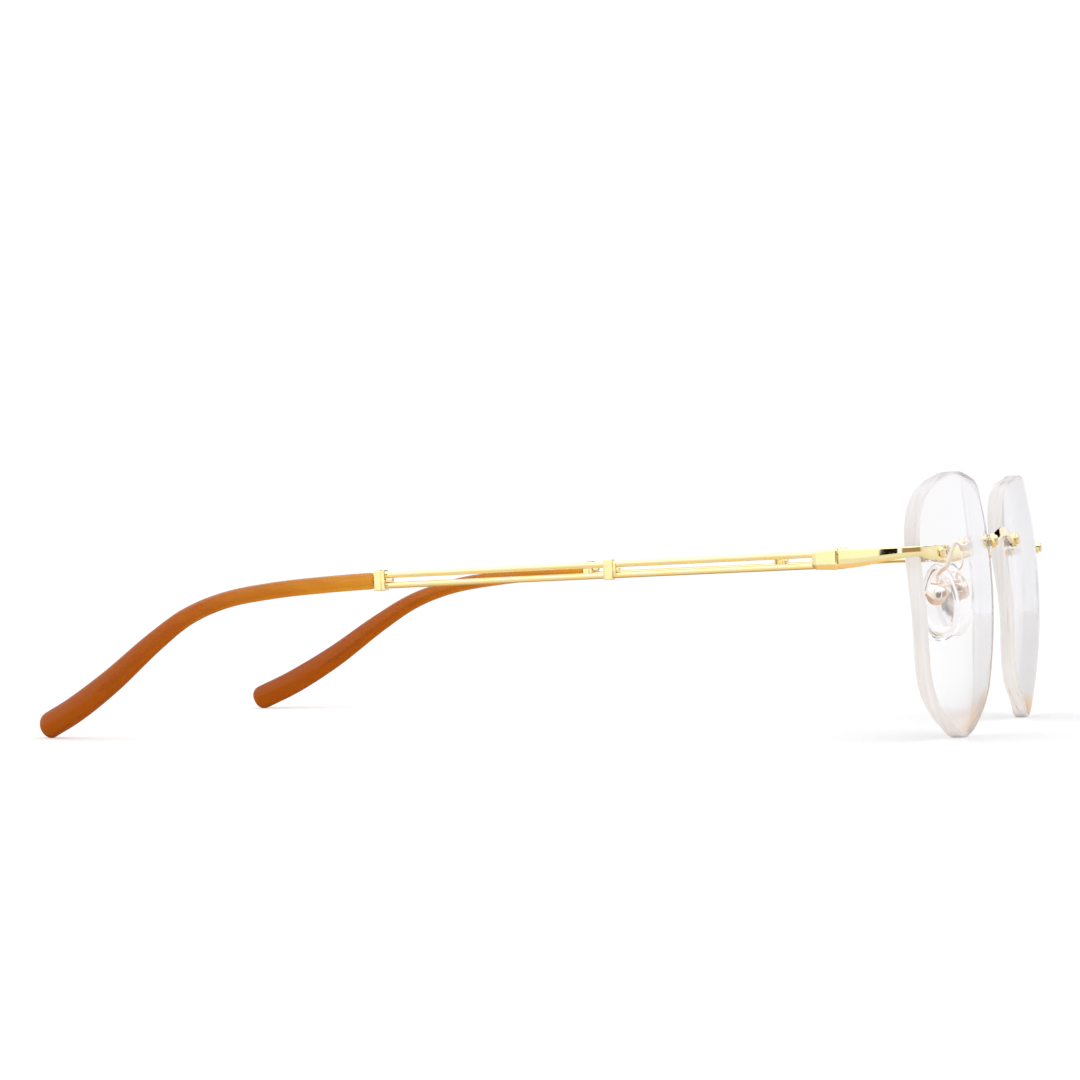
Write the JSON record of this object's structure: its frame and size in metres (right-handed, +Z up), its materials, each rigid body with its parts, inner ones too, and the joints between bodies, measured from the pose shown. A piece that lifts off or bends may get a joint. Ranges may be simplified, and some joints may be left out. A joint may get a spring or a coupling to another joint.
{
  "type": "rimless eyeglasses",
  "caption": "Rimless eyeglasses with screw-mounted lenses, gold double-wire folding temples, amber acetate tips and rocking clear nose pads.",
  "frame": {"origin": "floor point on the plane of symmetry, under the middle of the bounding box, with the glasses standing open on their lens bottoms and temple tips", "axes": "+X to the wearer's left, +Y backwards along the open temples, +Z up; the lenses face -Y"},
  "size_m": [0.1348, 0.159, 0.044],
  "materials": {
    "gold_metal": "polished light gold plating",
    "screw_metal": "polished gold-plated fasteners",
    "lens_glass": "clear coated lens with polished edge",
    "clear_plastic": "clear moulded plastic",
    "silicone": "clear glossy silicone",
    "acetate": "polished translucent amber acetate",
    "core_steel": "bright wire inside the tip"
  },
  "bodies": {
    "front": {"bridge": "gold_metal", "left_lens": "lens_glass", "left_bridge_screw": "screw_metal", "left_bridge_bushing": "clear_plastic", "left_bridge_washer": "clear_plastic", "left_bridge_nut": "screw_metal", "left_pad_arm": "gold_metal", "left_pad_box": "gold_metal", "left_pad_screw": "screw_metal", "left_endpiece": "gold_metal", "left_endpiece_screw": "screw_metal", "left_endpiece_bushing": "clear_plastic", "left_endpiece_washer": "clear_plastic", "left_endpiece_nut": "screw_metal", "left_hinge_screw": "screw_metal", "right_lens": "lens_glass", "right_bridge_screw": "screw_metal", "right_bridge_bushing": "clear_plastic", "right_bridge_washer": "clear_plastic", "right_bridge_nut": "screw_metal", "right_pad_arm": "gold_metal", "right_pad_box": "gold_metal", "right_pad_screw": "screw_metal", "right_endpiece": "gold_metal", "right_endpiece_screw": "screw_metal", "right_endpiece_bushing": "clear_plastic", "right_endpiece_washer": "clear_plastic", "right_endpiece_nut": "screw_metal", "right_hinge_screw": "screw_metal"},
    "left_temple": {"left_temple_block": "gold_metal", "left_temple_wire_upper": "gold_metal", "left_temple_wire_lower": "gold_metal", "left_temple_clasp": "gold_metal", "left_temple_ferrule": "gold_metal", "left_tip_core": "core_steel", "left_temple_tip": "acetate"},
    "right_temple": {"right_temple_block": "gold_metal", "right_temple_wire_upper": "gold_metal", "right_temple_wire_lower": "gold_metal", "right_temple_clasp": "gold_metal", "right_temple_ferrule": "gold_metal", "right_tip_core": "core_steel", "right_temple_tip": "acetate"},
    "left_pad": {"left_nose_pad": "silicone"},
    "right_pad": {"right_nose_pad": "silicone"}
  },
  "joints": [
    {"name": "left_temple_fold", "type": "hinge", "parent": "front", "child": "left_temple", "pos_m": [0.06195, -0.06209, 0.02985], "axis": [0, 0, 1], "range_deg": [0, 90]},
    {"name": "right_temple_fold", "type": "hinge", "parent": "front", "child": "right_temple", "pos_m": [-0.06195, -0.06209, 0.02985], "axis": [0, 0, -1], "range_deg": [0, 84]},
    {"name": "left_pad_rock", "type": "hinge", "parent": "front", "child": "left_pad", "pos_m": [0.01392, -0.06927, 0.02321], "axis": [-0.2419, -0.9703, 0], "range_deg": [-8, 8]},
    {"name": "right_pad_rock", "type": "hinge", "parent": "front", "child": "right_pad", "pos_m": [-0.01392, -0.06927, 0.02321], "axis": [0.2419, -0.9703, 0], "range_deg": [-8, 8]}
  ]
}
